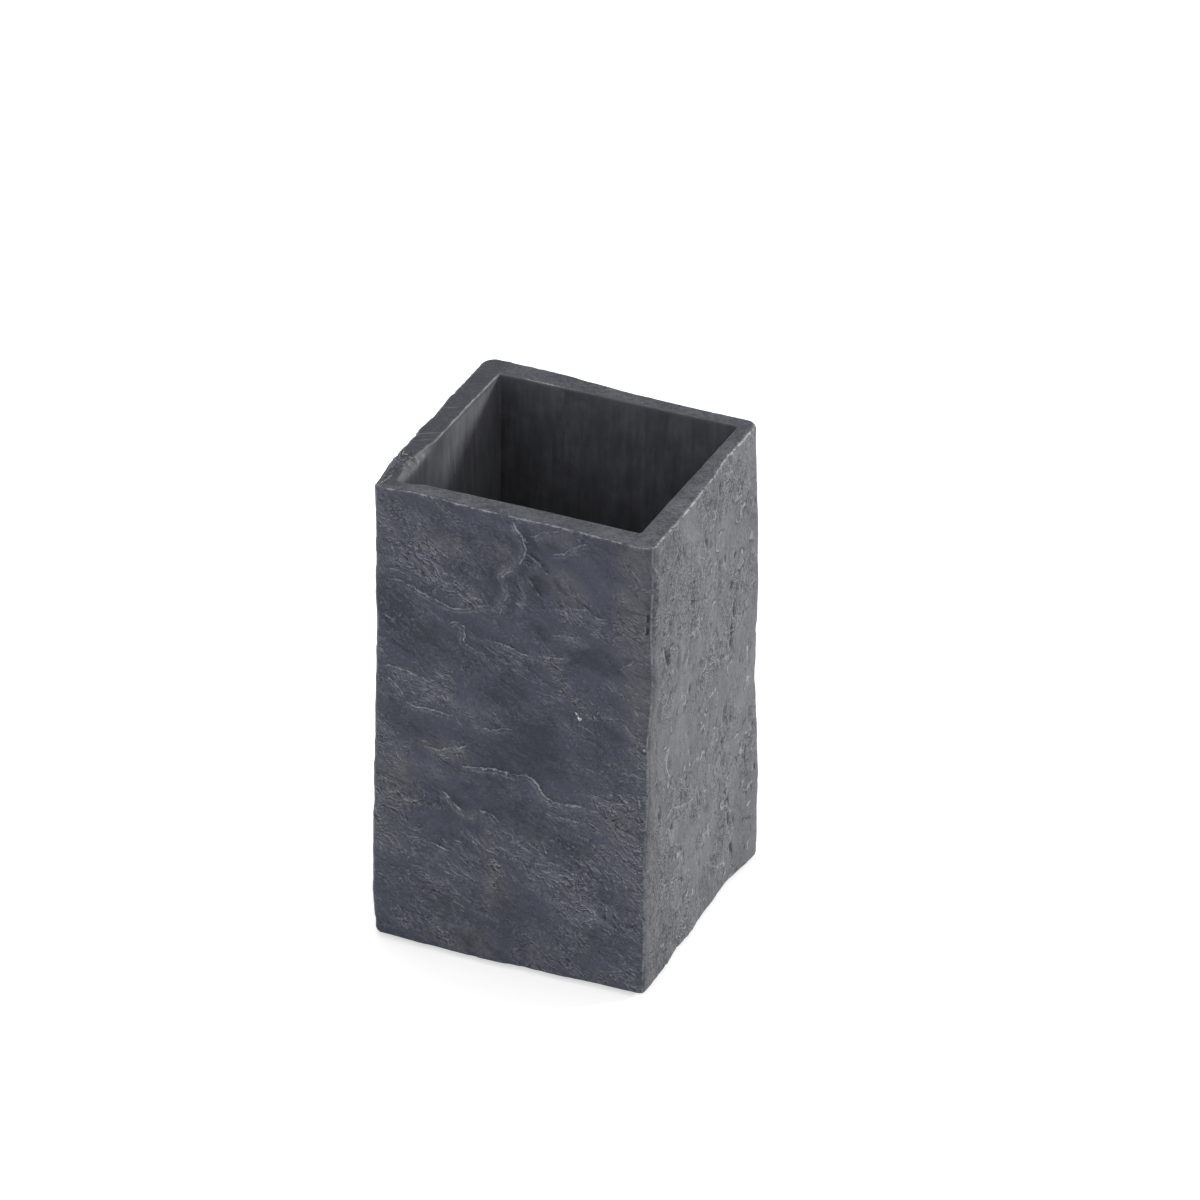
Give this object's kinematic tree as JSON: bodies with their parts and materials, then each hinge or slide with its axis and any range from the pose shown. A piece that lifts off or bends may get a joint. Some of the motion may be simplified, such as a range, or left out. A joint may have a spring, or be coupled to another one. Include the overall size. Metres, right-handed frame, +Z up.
{
  "type": "toothbrush tumbler",
  "caption": "Square split-slate-look cast tumbler with a drafted cavity for toothbrushes, standing on self-adhesive foam feet in moulded seats.",
  "frame": {"origin": "centre of the footprint, on the surface that the feet stand on", "axes": "+Z up out of the mouth; the split front faces -Y and the broken right wall faces +X"},
  "size_m": [0.064, 0.064, 0.105],
  "materials": {
    "slate_casting": "matte",
    "foot_foam": "matte",
    "adhesive_film": "satin"
  },
  "bodies": {
    "root": {"tumbler_body": "slate_casting", "foot_front_left": "foot_foam", "foot_front_right": "foot_foam", "foot_back_left": "foot_foam", "foot_back_right": "foot_foam", "adhesive_front_left": "adhesive_film", "adhesive_front_right": "adhesive_film", "adhesive_back_left": "adhesive_film", "adhesive_back_right": "adhesive_film"}
  },
  "joints": []
}
